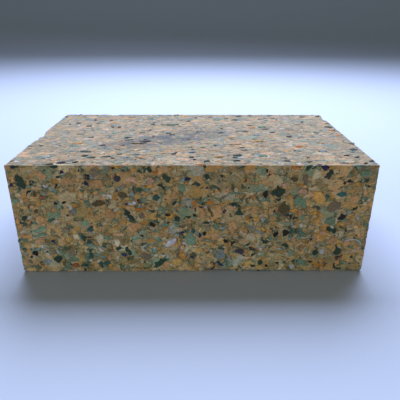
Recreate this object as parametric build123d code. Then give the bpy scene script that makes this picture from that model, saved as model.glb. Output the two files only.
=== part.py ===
from build123d import *
import os
from math import cos, radians, sin, sqrt
from random import Random

# Bonded chip-foam mounting block: one sawn block of torn foam chips, pressed and cured together.
# Origin at the middle of the underside, +X along the length, -Y is the front, +Z up. Millimetres.

# ---------------------------------------------------------------- driving dimensions
LENGTH = 457.0            # along X, 18 in
DEPTH = 279.0             # along Y, 11 in
HEIGHT = 152.0            # along Z, 6 in

CHIP_GAP = 0.4            # pressed crumb left between two neighbouring chips
CHIP_FLATNESS = 0.7       # how thick a chip is, as a share of its smaller width
CHIP_RISE = 0.1           # the saw takes a chip this far under its widest girth, as a share of its thickness
CHIP_ROUGHNESS = 0.2      # how far a chip's corners wander, as a share of its size
CORNER_DRIFT = 0.25       # how far a corner drifts round the chip, as a share of a side
CHIP_SIDES = (6, 8)       # fewest and most corners of a chip's girth
SPECK_SIZE = 5.0          # chips smaller than this have the fewest
RIM_SIZE = 0.62           # corner radius that gives such a many-sided girth about its nominal width
RIM_SWING = 12.0          # how far the first corner may lie from a chip's long axis, in degrees
SCATTER = 0.75            # share of the scattered chips large enough to be solids of their own

YARN_DIAMETER = 1.5
THREAD_DIAMETER = 1.0
FIBRE_SUNK = 0.62         # share of a fibre's diameter that lies behind the sawn face
ARC_SHARE = 0.45          # share of its shorter run that a fibre's bend takes up
GUARD_SIZE = 2.5          # width kept clear of chips along a fibre, in fibre diameters
GUARD_STEPS = 4           # keep-clear places along each of a fibre's runs

# The chip places below are written for a block of this size, and spread in step with the real one.
LAYOUT_LENGTH = 457.0
LAYOUT_DEPTH = 279.0
LAYOUT_HEIGHT = 152.0

SQUARE_DECIMETRE = 10000.0
SEED = 457
PLACING_TRIES = 60
SMALLEST_SHARE = 0.6      # a placed chip gives way to its neighbours down to this share of its size
SHRINK_STEP = 0.06        # in steps of this much
NUDGE_STEP = 0.25         # and moves aside by up to this much more at each try

# ---------------------------------------------------------------- chip families
# Each family is one kind of scrap foam, and one node. Places are on a face, from its lower left corner.
# A placed chip is (x, y, width, height, tilt), tilt in degrees anticlockwise, or its outline as corners
# ((x, y), ...). A list of such places is one chip of several lobes. "sizes" is the range of widths of the
# scattered chips, "density" is their number in a square decimetre, and "stretch" is how much longer than
# wide they may be. Small dark chips come first, and the larger ones give way to them.

FAMILIES = {
    "black_chips": dict(
        sizes=(3.5, 8.0), density=1.9, stretch=1.7,
        front=[((20, 110.5), (20.5, 118), (28, 120.5), (24.5, 115)),
               ((12.5, 26.5), (18, 34), (23, 32), (22.5, 25.5), (16, 25.5)),
               ((171.5, 72), (175, 76), (179, 73), (178, 68), (173, 69)),
               ((269, 48.5), (271, 50.5), (275, 47.5), (274, 43), (270, 44)),
               ((316, 118), (319, 120.5), (323.5, 118.5), (322.5, 113), (320, 109), (316.5, 112)),
               ((333, 59), (338, 62.5), (339.5, 57), (336, 53), (333, 54)),
               ((334, 67.5), (336, 69.5), (338.5, 67), (336, 65)),
               ((344.5, 62), (349, 65), (354.5, 60), (353, 56.5), (348, 52.5), (345.5, 57)),
               ((373, 146.5), (376, 151), (381, 152), (378, 148)),
               [((413.5, 128), (416, 131), (421, 131), (420, 127), (417, 124.5)),
                ((419, 131), (423.5, 135), (430, 131), (423, 128))],
               ((415.5, 84), (418, 87.5), (422.5, 86), (423.5, 82), (423, 77), (415, 78)),
               [((417.5, 8), (419.5, 13.5), (422, 10), (421.5, 6), (419, 4.5)),
                ((420, 8), (424, 6), (432, 6), (428, 3), (420, 3.5))],
               (63.5, 137, 5, 3.5, 0), (59, 124.5, 3.2, 5, 0), (8, 73.5, 3.5, 4, 0), (69, 85, 7, 3, -20),
               (94.5, 54, 3.2, 5, 0), (65, 103, 6.5, 3, 45), (130, 148.5, 5, 3, 0), (161.5, 55, 4, 4, 0),
               (196.5, 85, 6, 3.2, -35), (247, 111, 3, 6.5, 0), (243.5, 59, 6, 5, 0), (327, 9, 6, 3.5, 0),
               (319, 145, 3.2, 3.5, 0), (384.5, 48, 2.6, 5, 0), (308, 8, 8, 6, 0), (230, 84.5, 5, 4, 30),
               (56, 101, 5, 2.6, 0), (342, 13, 6, 4, -15), (298, 123, 3, 5, 0), (338.5, 37, 4, 3.5, 0)],
        top=[(132, 124, 9, 10, -40), (160, 105, 16, 6, 0), (66, 10, 12, 8, 20), (82, 14, 8, 6, 20),
             (126, 28, 8, 5, -20), (143, 31, 9, 4, 40), (156, 22, 4, 7, 0), (227, 34, 9, 6, 0),
             (231, 23, 4, 5, 0), (429, 41, 13, 6, -10), (440, 33, 8, 6, 30), (453, 18, 6, 8, 0),
             (345, 17, 9, 6, 0), (373, 131, 7, 8, 0), (195, 140, 11, 6, 0), (57, 194, 12, 8, -15),
             (273, 180, 4, 12, 0), (2, 17, 5, 6, 0), (383, 3, 9, 5, 0), (229, 69, 11, 5, 0),
             (422, 262, 12, 9, 0), (449, 265, 8, 10, 0)]),
    "navy_chips": dict(
        sizes=(3.5, 8.0), density=0.8, stretch=1.6,
        front=[((383.5, 152.5), (389, 154), (396, 153), (394.5, 149), (391, 142), (387, 147)),
               ((216, 131), (219, 135.5), (221, 137.5), (224.5, 137), (224, 132.5)),
               ((234, 57.5), (236.5, 61), (239, 57), (240, 51), (236.5, 50.5)),
               ((248.5, 80), (250, 83.5), (252, 83), (250.5, 77.5)),
               ((258.5, 14), (260, 17.5), (264, 14.5), (270.5, 9.5), (268, 7.5), (262, 10)),
               ((328.5, 90), (331.5, 92.5), (334.5, 90), (332, 86.5)),
               (67.5, 143, 5.5, 4.5, 20), (91, 147, 3.5, 4.5, 0), (96.5, 128, 5, 7, 0), (4, 127, 4, 4, 0),
               (44, 47, 4.5, 4.5, 0), (144, 100, 3.5, 3.5, 0), (137, 25, 6.5, 4.5, -20), (47.5, 146, 3.5, 4, 0),
               (246, 122, 4.5, 4, 30), (158, 60, 4, 3.5, 0), (215, 60, 5.5, 3, 0)],
        top=[(60, 238, 7, 10, 0), (219, 229, 7, 8, 0), (348, 31, 4, 7, 0)]),
    "plum_chips": dict(
        sizes=(4.0, 10.0), density=0.5, stretch=1.5,
        front=[((283, 31.5), (286, 37.5), (295, 35), (296.5, 31), (292, 25.5), (286, 28.5)),
               (135, 136, 9, 8, 0), (226.5, 22, 6.5, 4.5, -15), (355.5, 17, 3.5, 3.5, 0),
               (269, 89, 3.2, 12, -12), (231.5, 92, 5, 8, 0), (253, 13, 5, 4, 0), (443, 53.5, 7, 5, 0)],
        top=[(123, 108, 8, 5, 0), (321, 200, 10, 5, 0)]),
    "film_scraps": dict(
        sizes=(6.0, 11.0), density=0.12, stretch=2.6,
        front=[((143, 101.5), (148, 103), (156, 104.5), (159.5, 101), (152, 98), (145, 98.5)),
               (342, 36.5, 6, 4.5, 0), (289.5, 103, 3.2, 4.5, 0), (44, 124.5, 6, 3.5, 0)],
        top=[(57, 168, 5, 12, 15)]),
    "white_chips": dict(
        sizes=(3.5, 9.0), density=0.35, stretch=1.9,
        front=[((189.5, 38.5), (192.5, 43), (199, 50.5), (206, 52.5), (207.5, 48.5), (202, 42.5), (196, 38.5)),
               ((354, 6), (357.5, 10.5), (364.5, 11.5), (367, 5.5), (360, 1.5)),
               (318, 34.5, 4.5, 7, 0), (299, 8, 4, 9.5, 0), (356, 71.5, 4.5, 3.5, 0), (401, 31, 7, 9, 0),
               (248.5, 49.5, 3.5, 4, 0)],
        top=[(152, 133, 9, 8, 0), (388, 246, 9, 14, 10), (176, 19, 5, 5, 0), (233, 213, 9, 9, 0)]),
    "blue_chips": dict(
        sizes=(4.0, 8.0), density=0.06, stretch=1.5,
        front=[(221.5, 106, 4, 4, 0), (222, 62, 4, 3.5, 0)],
        top=[(226, 54, 9, 9, 0)]),
    "red_specks": dict(
        sizes=(2.6, 4.0), density=0.12, stretch=1.6,
        front=[],
        top=[(169, 133, 4, 9, 5), (220.5, 114, 4, 10, 0)]),
    "orange_chips": dict(
        sizes=(4.0, 9.0), density=0.4, stretch=2.0,
        front=[((154.5, 94.5), (161, 95), (168.5, 95), (168, 92), (156, 91.5)),
               (193, 66.5, 8, 5, 50), (352, 148.5, 7, 7, 0), (182, 142, 6, 4, 0), (251, 103, 5, 4, 0),
               (230, 103, 5, 8, 0)],
        top=[(238, 3, 14, 5, 0), (140, 3, 8, 5, 0)]),
    "bottle_green_chips": dict(
        sizes=(5.0, 14.0), density=3.4, stretch=1.9,
        front=[((9.5, 136), (14, 141.5), (20, 134.5), (22, 130), (21, 121), (17, 121), (9.5, 126.5)),
               ((42.5, 25), (53, 26), (53.5, 19), (50, 14), (42.5, 16)),
               ((90, 33), (92.5, 35.5), (94.5, 28), (95.5, 23), (92, 22.5), (89.5, 28)),
               ((83.5, 59), (86.5, 54.5), (93, 52), (87, 46.5), (81.5, 51)),
               ((170.5, 146), (172.5, 151.5), (178, 151.5), (177, 142.5), (173, 143.5)),
               ((190.5, 139), (197, 141.5), (200.5, 134), (198.5, 127.5), (195, 127.5), (193, 133)),
               ((181, 128), (190, 127), (196, 119), (188, 123)),
               [((141.5, 97), (144.5, 93), (149, 88), (147, 81.5), (140.5, 86)),
                ((146, 87), (151, 83.5), (156, 77.5), (153, 75.5), (145.5, 80))],
               ((204.5, 83.5), (210, 85.5), (212, 78), (207, 73.5), (203.5, 78)),
               ((173, 6.5), (178, 13), (184, 20.5), (190, 21.5), (197, 20), (190, 15), (186, 10), (180, 5.5)),
               ((225, 127), (231, 130.5), (237.5, 126), (233, 124)),
               ((243, 141.5), (247, 140.5), (250.5, 136), (247, 133.5), (242.5, 137)),
               [((279.5, 103.5), (283, 106), (288.5, 104), (286.5, 99), (282, 97), (278, 98.5)),
                ((271.5, 103), (277, 101), (281, 99), (277, 97.5), (273, 100))],
               ((280.5, 86.5), (284, 90), (286, 96), (289.5, 96.5), (290.5, 91), (293.5, 86.5), (291.5, 84),
                (284, 85)),
               [((274, 48), (284.5, 49.5), (284, 45), (280, 41), (277, 42)),
                ((277, 43.5), (281.5, 43.5), (280.5, 37), (278.5, 33.5), (276.5, 36.5))],
               ((315.5, 51.5), (322, 49.5), (328.5, 45), (326, 41.5), (321, 43.5)),
               [((324, 116), (331, 121), (332, 126), (337, 125.5), (341, 119), (334, 111), (325, 112.5)),
                ((335, 121), (345.5, 121), (342, 114), (340.5, 109), (336, 107.5), (333, 111))],
               ((327.5, 68.5), (332, 66.5), (334, 61), (330, 62.5)),
               ((365.5, 144), (366.5, 152), (376.5, 153), (373, 146), (370, 143)),
               ((387.5, 142), (392, 146), (397, 151), (403, 152), (402, 147), (399.5, 141), (395, 134),
                (391.5, 138)),
               ((429.5, 90.5), (435, 96.5), (437.5, 99), (438.5, 94), (433, 89)),
               [((401.5, 67.5), (409, 66.5), (412, 62), (406, 60), (402, 62.5)),
                ((409.5, 65.5), (415, 66.5), (416.5, 62), (413, 56.5), (409.5, 59))],
               ((387.5, 33.5), (391, 34.5), (396.5, 33), (396.5, 28), (392, 21.5), (389.5, 24)),
               ((415.5, 23.5), (415.5, 35), (418, 43.5), (421, 40), (422.5, 34.5), (430, 31.5), (424, 26.5)),
               ((440, 31.5), (442.5, 30), (446.5, 22), (444, 20.5), (437.5, 20.5)),
               ((404, 12), (406, 14.5), (408, 9), (406, 6), (403.5, 8)),
               (61, 151, 9, 6, 0), (32, 131, 7, 4, -20), (13, 81.5, 10, 5, 35), (83, 3, 4, 7, 0),
               (51, 57, 5, 3.5, -20), (195, 74, 4.5, 8, 0), (130, 36, 9, 5, 30), (143.5, 32, 6, 15, 18),
               (134, 119, 5, 4.5, 0), (263, 138, 4, 4.5, 0), (243, 150, 5, 5, 0), (246, 74, 13, 4, 15),
               (309, 25, 6, 5, 0), (319, 14, 9, 5, 45), (322, 142, 6, 4, 20), (294, 132, 3.5, 4.5, 0),
               (445, 133, 4, 5, 0), (349, 41, 9, 5, -20), (386.5, 15, 6, 5, 0), (247, 28.5, 4, 4, 0),
               (5, 36, 5, 4, 0), (204, 101, 7, 4, 35), (222, 83, 7, 4, 35), (300, 41, 4, 5, 0),
               (377, 125, 5, 3.5, 0), (14, 23, 4, 3.5, 0)],
        top=[(300, 238, 12, 9, 0), (367, 253, 8, 10, 0), (305, 164, 22, 7, 0), (272, 155, 9, 12, 0),
             (446, 190, 11, 9, 0), (131, 224, 9, 9, 0), (161, 205, 7, 9, 0), (109, 185, 8, 6, 0),
             (287, 41, 11, 8, 0), (88, 40, 10, 7, 0), (284, 18, 9, 7, 0), (246, 17, 9, 7, 0),
             (297, 77, 9, 5, 0), (447, 66, 10, 8, 0), (351, 157, 7, 7, 0), (53, 4, 11, 6, 0),
             (443, 9, 6, 6, 0), (16, 85, 11, 6, 0)]),
    "teal_chips": dict(
        sizes=(5.0, 11.0), density=0.7, stretch=1.6,
        front=[((91, 64), (94, 67), (97.5, 72), (100, 66), (97, 59.5), (92, 59.5)),
               (103, 14, 5.5, 5, 0), (277, 84.5, 6, 6, 0), (415.5, 114, 11, 8, 0), (113, 12, 11, 12, 0),
               (92, 45.5, 9, 4.5, 20), (183, 110, 8, 7, 30), (72, 68, 3.5, 5, 0)],
        top=[(232, 255, 7, 12, 0), (190, 152, 9, 8, 0), (282, 30, 9, 6, 20), (116, 35, 12, 8, 0)]),
    "rust_chips": dict(
        sizes=(4.0, 8.0), density=0.3, stretch=1.6,
        front=[(70, 10, 10, 8, 0), (425.5, 143, 3.5, 4.5, 0), (40, 110, 8, 4, -20), (371, 35, 5, 8, 0)],
        top=[]),
    "olive_brown_chips": dict(
        sizes=(7.0, 15.0), density=1.0, stretch=1.8,
        front=[((28, 110), (29, 116.5), (31, 121), (35.5, 116.5), (36.5, 110), (31, 107)),
               ((336, 102), (345, 103.5), (352.5, 98), (351, 90), (345, 84.5), (336.5, 87)),
               ((133.5, 113), (138, 117.5), (147, 115), (148.5, 109), (140, 107.5)),
               ((100.5, 101), (106, 105), (116, 106.5), (119.5, 101), (110, 98), (103, 98)),
               ((245, 96), (248, 98), (252, 91), (256, 84), (254, 82.5), (249.5, 88)),
               ((349, 69), (353, 71.5), (358, 68), (363, 64), (355, 64.5)),
               (30, 90, 11, 7, 45), (240, 122, 8, 5, 30), (278, 122, 3.5, 14, 12), (354, 134, 8, 6, 0),
               (388, 94.5, 5, 5, 0), (411, 136, 4, 3.5, 0)],
        top=[(70, 215, 8, 7, 0), (240, 160, 16, 12, 0), (150, 96, 24, 6, 0), (35, 215, 8, 10, 0)]),
    "taupe_chips": dict(
        sizes=(8.0, 16.0), density=0.7, stretch=1.7,
        front=[((363, 139), (366, 141), (372, 140.5), (372.5, 127), (369, 124.5), (364.5, 132)),
               ((62, 27), (66, 35), (68, 38.5), (70, 35), (72, 30), (67, 25)),
               (109.5, 143.5, 14, 9, 15), (64, 65, 9, 6, -20), (163, 85, 9, 9, 0), (141.5, 124, 8, 6, 0),
               (166, 22.5, 14, 12, 0), (266, 110, 10, 7, 30), (247, 65.5, 11, 8, 0), (408, 96.5, 19, 13, 15),
               (11, 16, 5, 9, 0)],
        top=[(258, 260, 12, 7, 0), (118, 259, 13, 8, 0), (380, 175, 14, 10, 0), (342, 176, 12, 9, 0)]),
    "grey_chips": dict(
        sizes=(7.0, 14.0), density=0.7, stretch=1.5,
        front=[((72, 90), (74, 93.5), (80, 93.5), (82, 88), (78, 84.5), (73.5, 86)),
               (152, 114, 7, 6.5, 0), (265, 28, 12, 13, 0), (34, 16, 12, 8, 0), (208, 58, 12, 5, 0),
               (305, 67, 7, 6, 0)],
        top=[(215, 166, 16, 9, 0), (345, 245, 10, 7, 0)]),
    "sage_green_chips": dict(
        sizes=(8.0, 17.0), density=1.1, stretch=1.8,
        front=[((356, 109), (361, 111.5), (368, 108), (372.5, 102), (373.5, 95), (370, 92.5), (363, 97),
                (355, 99)),
               ((219.5, 58), (227, 60.5), (231.5, 55), (234, 46), (228, 40.5), (219, 42)),
               ((61, 22), (70, 24), (77.5, 21), (76.5, 16), (68, 14.5), (60, 18)),
               ((79, 22), (86, 25.5), (93.5, 23), (92.5, 17), (84, 15)),
               ((20, 62), (27, 66), (40, 71), (39, 67), (30, 61.5), (22, 59.5)),
               ((84, 78), (92, 78.5), (96, 75), (92, 68), (85, 68)),
               (5, 105, 8, 10, 0), (28, 56, 18, 5, 15), (53, 33, 9, 6, 0), (134, 145.5, 13, 6, 0),
               (172, 9, 12, 14, 0), (214, 123, 9, 9, 0), (257, 68.5, 9, 11, 20), (252, 28, 8, 4, 10),
               (301, 133, 10, 5, 0), (405, 76, 14, 10, 20), (440, 142, 12, 10, 0), (375, 13, 14, 12, 0),
               (341, 45, 10, 7, 0), (430, 15, 7, 6, 0), (251, 107, 8, 5, 0), (50, 46, 9, 7, 0)],
        top=[(190, 205, 26, 16, 0), (108, 152, 10, 9, 0), (136, 11, 20, 9, 0), (150, 45, 20, 8, 20),
             (320, 38, 14, 10, 0), (420, 155, 12, 10, 0), (340, 190, 12, 8, 0)]),
    "cream_chips": dict(
        sizes=(7.0, 14.0), density=0.9, stretch=1.7,
        front=[((373, 139), (376, 146), (380, 150.5), (385, 148), (388, 141), (384, 132), (374, 128.5)),
               ((101, 54), (106, 57.5), (113, 55), (112, 46), (103, 43.5)),
               ((152, 43), (154, 51), (160, 56), (166, 51), (161, 41)),
               (76, 54, 11, 11, 0), (218, 147, 16, 3, 8), (299, 115, 20, 4, 0), (128, 45.5, 8, 10, 0),
               (305, 53, 12, 11, 0), (372, 71, 5, 4, 0)],
        top=[(205, 195, 6, 10, 0), (212, 212, 8, 8, 0), (240, 76, 9, 6, 0), (150, 62, 12, 6, 0)]),
    "ochre_chips": dict(
        sizes=(8.0, 18.0), density=1.0, stretch=1.7,
        front=[((379, 118.5), (388, 118), (395, 113), (396, 103), (392, 98), (384, 104), (378.5, 108)),
               ((343.5, 112), (347, 117), (354, 116), (356, 110), (349, 106)),
               ((200.5, 17), (206, 21.5), (214, 19), (213.5, 12), (206, 8.5), (199, 10)),
               (66, 49.5, 7, 15, 10), (100, 88.5, 4, 12, 0), (261, 77.5, 9, 6, 0), (389, 78, 7, 12, 0),
               (340, 51.5, 8, 6, 0), (387.5, 49.5, 6, 11, 0), (432.5, 82, 8, 5, 20), (174.5, 47.5, 13, 7, 10),
               (140, 75, 12, 6, 30), (308, 78, 6, 7, 0), (294, 64, 9, 7, 0), (312, 128, 6, 4, 0),
               (156, 145, 7, 8, 0), (170, 113, 13, 5, 40), (163, 108, 6, 8, -20)],
        top=[(225, 76, 6, 5, 0), (262, 34, 10, 9, 0)]),
    "pink_chips": dict(
        sizes=(7.0, 13.0), density=0.4, stretch=1.6,
        front=[((110, 22), (116, 27), (121, 22), (120, 15), (114, 16)),
               ((172, 131), (174, 138), (177, 139), (180, 132), (177, 123), (173, 124)),
               (153, 133.5, 13, 8, -15), (364, 118, 14, 7, 0), (342, 126, 9, 6, -15), (398, 60, 8, 9, 0)],
        top=[(28, 264, 10, 7, 0), (160, 219, 8, 10, 0)]),
    "peach_chips": dict(
        sizes=(10.0, 19.0), density=1.2, stretch=1.6,
        front=[((22, 74), (27, 81.5), (33, 87), (38.5, 82), (39.5, 75), (34.5, 68), (27, 69)),
               ((61, 133), (68, 138), (78, 139), (84.5, 131), (80, 125.5), (66, 123.5)),
               ((29.5, 140), (35, 144.5), (44, 146.5), (52, 139), (49, 131.5), (40, 131)),
               ((99, 131), (104, 135.5), (116, 136), (122, 128), (112, 120.5), (100, 123)),
               ((395, 101), (400, 110), (408, 114), (415, 110), (420, 103), (416, 96), (405, 92), (397, 95)),
               ((255, 99), (260, 102), (266, 98), (268, 90), (263, 84), (257, 90)),
               ((359, 93), (362, 97), (370, 92), (374, 84), (366, 80), (358, 85)),
               ((249, 57), (256, 60), (263, 58), (262, 50), (253, 47.5)),
               ((274, 72), (279, 78), (284, 76), (287, 67), (281, 62), (274, 64)),
               (28, 47, 15, 9, 15), (123, 87, 13, 16, 0), (153, 68, 21, 11, 20), (131, 57, 17, 6, 0),
               (204, 111.5, 9, 9, 20), (240, 87, 8, 16, 0), (306, 90, 11, 9, 0), (412, 47.5, 12, 11, 0),
               (325, 128.5, 14, 10, 0), (17, 17.5, 5, 6, 0), (285, 55.5, 8, 5, 0)],
        top=[(55, 22, 14, 8, 0), (148, 8, 4, 8, 0), (190, 50, 14, 6, 30), (258, 62, 16, 10, 0),
             (325, 82, 16, 9, 0)]),
}

# Fibres bonded in with the chips, lying in the front face, as (x, z) from its lower left corner.
YARN_ROUTE = [(427, 46), (434, 49), (442, 49.5), (449, 46), (452, 40), (448, 35), (440, 31.5), (431, 29)]
THREAD_ROUTE = [(217, 49), (213, 43), (210, 35), (207, 24)]

# Places where crumb is torn out of a sawn edge, as (face, x, y, width, height) on that face.
TORN_PLACES = [
    ("front", 267, 0, 44, 9), ("front", 301, 0, 9, 7), ("front", 356, 0, 44, 4), ("front", 206, 0, 16, 3),
    ("top", 0, 140, 9, 30), ("top", 0, 118, 6, 14), ("top", 84, 279, 20, 7), ("top", 457, 252, 7, 30),
]

# ---------------------------------------------------------------- faces of the block


def block_faces():
    """The six sawn faces: plane at the lower left corner, width and height, and layout size."""
    half_length = LENGTH / 2
    half_depth = DEPTH / 2
    front = Plane((-half_length, -half_depth, 0), x_dir=(1, 0, 0), z_dir=(0, -1, 0))
    back = Plane((half_length, half_depth, 0), x_dir=(-1, 0, 0), z_dir=(0, 1, 0))
    left = Plane((-half_length, half_depth, 0), x_dir=(0, -1, 0), z_dir=(-1, 0, 0))
    right = Plane((half_length, -half_depth, 0), x_dir=(0, 1, 0), z_dir=(1, 0, 0))
    top = Plane((-half_length, -half_depth, HEIGHT), x_dir=(1, 0, 0), z_dir=(0, 0, 1))
    bottom = Plane((-half_length, half_depth, 0), x_dir=(1, 0, 0), z_dir=(0, 0, -1))
    return {
        "front": (front, LENGTH, HEIGHT, LAYOUT_LENGTH, LAYOUT_HEIGHT),
        "back": (back, LENGTH, HEIGHT, LAYOUT_LENGTH, LAYOUT_HEIGHT),
        "left": (left, DEPTH, HEIGHT, LAYOUT_DEPTH, LAYOUT_HEIGHT),
        "right": (right, DEPTH, HEIGHT, LAYOUT_DEPTH, LAYOUT_HEIGHT),
        "top": (top, LENGTH, DEPTH, LAYOUT_LENGTH, LAYOUT_DEPTH),
        "bottom": (bottom, LENGTH, DEPTH, LAYOUT_LENGTH, LAYOUT_DEPTH),
    }


# ---------------------------------------------------------------- torn chips


def distance(a, b):
    return sqrt((a[0] - b[0]) ** 2 + (a[1] - b[1]) ** 2 + (a[2] - b[2]) ** 2)


def cross(a, b):
    return (a[1] * b[2] - a[2] * b[1], a[2] * b[0] - a[0] * b[2], a[0] * b[1] - a[1] * b[0])


def dot(a, b):
    return a[0] * b[0] + a[1] * b[1] + a[2] * b[2]


class Lump:
    """One torn, angular lump of foam, as corner points and triangles."""

    def __init__(self, plane, x, y, girth, thickness, off_middle=(0, 0)):
        """The girth's corners and the tips' place are offsets from (x, y) on the face."""
        rim = CHIP_RISE * thickness
        outline = [(u, v, rim) for u, v in girth]
        tips = [(*off_middle, -thickness), (*off_middle, rim + thickness)]
        self.corners = []
        for u, v, w in outline + tips:
            point = plane.from_local_coords((x + u, y + v, w))
            self.corners.append((point.X, point.Y, point.Z))
        sides = len(girth)
        self.triangles = [(side, (side + 1) % sides, tip)
                          for side in range(sides) for tip in (sides, sides + 1)]
        self.measure()

    def measure(self):
        """Middle, reach and the directions that its triangles face."""
        count = len(self.corners)
        self.middle = tuple(sum(c[i] for c in self.corners) / count for i in range(3))
        self.reach = max(distance(c, self.middle) for c in self.corners)
        self.normals = []
        for i, j, k in self.triangles:
            a, b, c = self.corners[i], self.corners[j], self.corners[k]
            normal = cross([q - p for p, q in zip(a, b)], [q - p for p, q in zip(a, c)])
            size = distance(normal, (0, 0, 0))
            self.normals.append(tuple(n / size for n in normal))

    def solid(self):
        faces = [Face(Wire.make_polygon([self.corners[i] for i in triangle])) for triangle in self.triangles]
        return Solid(Shell(faces))


def torn_lump(rng, plane, x, y, width, height, tilt):
    """A lump of about this width and height, with corners of its own."""
    sides = CHIP_SIDES[0] if max(width, height) < SPECK_SIZE else rng.randint(*CHIP_SIDES)
    spin = rng.uniform(-RIM_SWING, RIM_SWING)
    turn = radians(tilt)
    girth = []
    for side in range(sides):
        angle = radians(spin + (side + rng.uniform(-CORNER_DRIFT, CORNER_DRIFT)) * 360 / sides)
        radius = RIM_SIZE * rng.uniform(1 - CHIP_ROUGHNESS, 1 + CHIP_ROUGHNESS)
        u = radius * width * cos(angle)
        v = radius * height * sin(angle)
        girth.append((u * cos(turn) - v * sin(turn), u * sin(turn) + v * cos(turn)))
    off_middle = (CHIP_ROUGHNESS * width * rng.uniform(-1, 1), CHIP_ROUGHNESS * height * rng.uniform(-1, 1))
    return Lump(plane, x, y, girth, CHIP_FLATNESS * min(width, height), off_middle)


def outlined_lump(plane, x, y, outline, size):
    """A lump that shows this outline in the sawn face, given as offsets from (x, y)."""
    spread = [max(c) - min(c) for c in zip(*outline)]
    grow = size * (1 + CHIP_RISE)
    return Lump(plane, x, y, [(u * grow, v * grow) for u, v in outline], size * CHIP_FLATNESS * min(spread))


def apart(a, b):
    """True where some direction shows the two lumps at least CHIP_GAP from each other."""
    between = distance(a.middle, b.middle)
    if between > a.reach + b.reach + CHIP_GAP:
        return True
    along = tuple((q - p) / between for p, q in zip(a.middle, b.middle)) if between > 0 else (1, 0, 0)
    for direction in [along] + a.normals + b.normals:
        spread_a = [dot(corner, direction) for corner in a.corners]
        spread_b = [dot(corner, direction) for corner in b.corners]
        if min(spread_b) - max(spread_a) > CHIP_GAP or min(spread_a) - max(spread_b) > CHIP_GAP:
            return True
    return False


def clear_of(lumps, taken):
    return all(apart(lump, other) for lump in lumps for other in taken)


def placed_lumps(rng, face, places, size, shift):
    """The lobes of a placed chip about their common middle, at a share of their size."""
    plane, across, up, layout_across, layout_up = face
    outlined = [place for place in places if isinstance(place[0], tuple)]
    corners = [corner for outline in outlined for corner in outline]
    if corners:
        middle = [sum(c) / len(corners) for c in zip(*corners)]
    lumps = []
    for place in places:
        if place in outlined:
            own = [sum(c) / len(place) for c in zip(*place)]
            x = middle[0] * across / layout_across + size * (own[0] - middle[0]) + shift[0]
            y = middle[1] * up / layout_up + size * (own[1] - middle[1]) + shift[1]
            lumps.append(outlined_lump(plane, x, y, [(u - own[0], v - own[1]) for u, v in place], size))
        else:
            x, y, width, height, tilt = place
            x = x * across / layout_across + shift[0]
            y = y * up / layout_up + shift[1]
            lumps.append(torn_lump(rng, plane, x, y, size * width, size * height, tilt))
    return lumps


def placed_chip(rng, face, places, taken):
    """A chip at its own place, made smaller and nudged in steps until it clears the chips beside it."""
    places = places if isinstance(places, list) else [places]
    own = rng.random()
    size = 1.0
    nudge = 0.0
    while True:
        shift = (nudge * rng.uniform(-1, 1), nudge * rng.uniform(-1, 1))
        lumps = placed_lumps(Random(own), face, places, size, shift)
        if clear_of(lumps, taken):
            return lumps
        size = max(SMALLEST_SHARE, size - SHRINK_STEP)
        nudge += NUDGE_STEP


def scattered_chip(rng, face, family, taken):
    """A chip of the family anywhere on the face, or none where no clear place turns up."""
    plane, across, up = face[:3]
    for _ in range(PLACING_TRIES):
        width = rng.triangular(*family["sizes"], family["sizes"][0])
        stretch = rng.uniform(1.0, family["stretch"])
        lump = torn_lump(rng, plane, rng.uniform(0, across), rng.uniform(0, up),
                         width / sqrt(stretch), width * sqrt(stretch), rng.uniform(0, 180))
        if clear_of([lump], taken):
            return [lump]
    return []


# ---------------------------------------------------------------- fibres


def fibre(face, route, diameter):
    """A round strand lying along a route in a sawn face, part of it showing."""
    plane, across, up, layout_across, layout_up = face
    level = diameter * (0.5 - FIBRE_SUNK)
    points = [plane.from_local_coords((x * across / layout_across, y * up / layout_up, level))
              for x, y in route]
    runs = [points[i].sub(points[i + 1]).length for i in range(len(points) - 1)]
    radii = []
    for i in range(1, len(points) - 1):
        turn = points[i].sub(points[i - 1]).get_angle(points[i + 1].sub(points[i]))
        shorter = min(runs[i - 1], runs[i])
        radii.append(ARC_SHARE * shorter * cos(radians(turn / 2)) / sin(radians(turn / 2)))
    path = FilletPolyline(*points, radius=radii)
    start = Plane(origin=path @ 0, z_dir=path % 0)
    return sweep(start * Circle(diameter / 2), path=path)


def fibre_guard(rng, face, route, diameter):
    """Lumps along a fibre's route that keep the chips clear of it."""
    plane, across, up, layout_across, layout_up = face
    guard = []
    for (x0, y0), (x1, y1) in zip(route, route[1:]):
        for step in range(GUARD_STEPS + 1):
            share = step / GUARD_STEPS
            x = (x0 + (x1 - x0) * share) * across / layout_across
            y = (y0 + (y1 - y0) * share) * up / layout_up
            size = GUARD_SIZE * diameter * across / layout_across
            guard.append(torn_lump(rng, plane, x, y, size, size, 0))
    return guard


# ---------------------------------------------------------------- the block


def whole_block():
    return Box(LENGTH, DEPTH, HEIGHT, align=(Align.CENTER, Align.CENTER, Align.MIN))


def torn_places(rng, faces):
    """Lens-shaped hollows where crumb came away at a sawn edge."""
    hollows = []
    for name, x, y, width, height in TORN_PLACES:
        plane, across, up, layout_across, layout_up = faces[name]
        x = x * across / layout_across
        y = y * up / layout_up
        hollows.append(torn_lump(rng, plane, x, y, width, height, 0))
    return hollows


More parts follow.
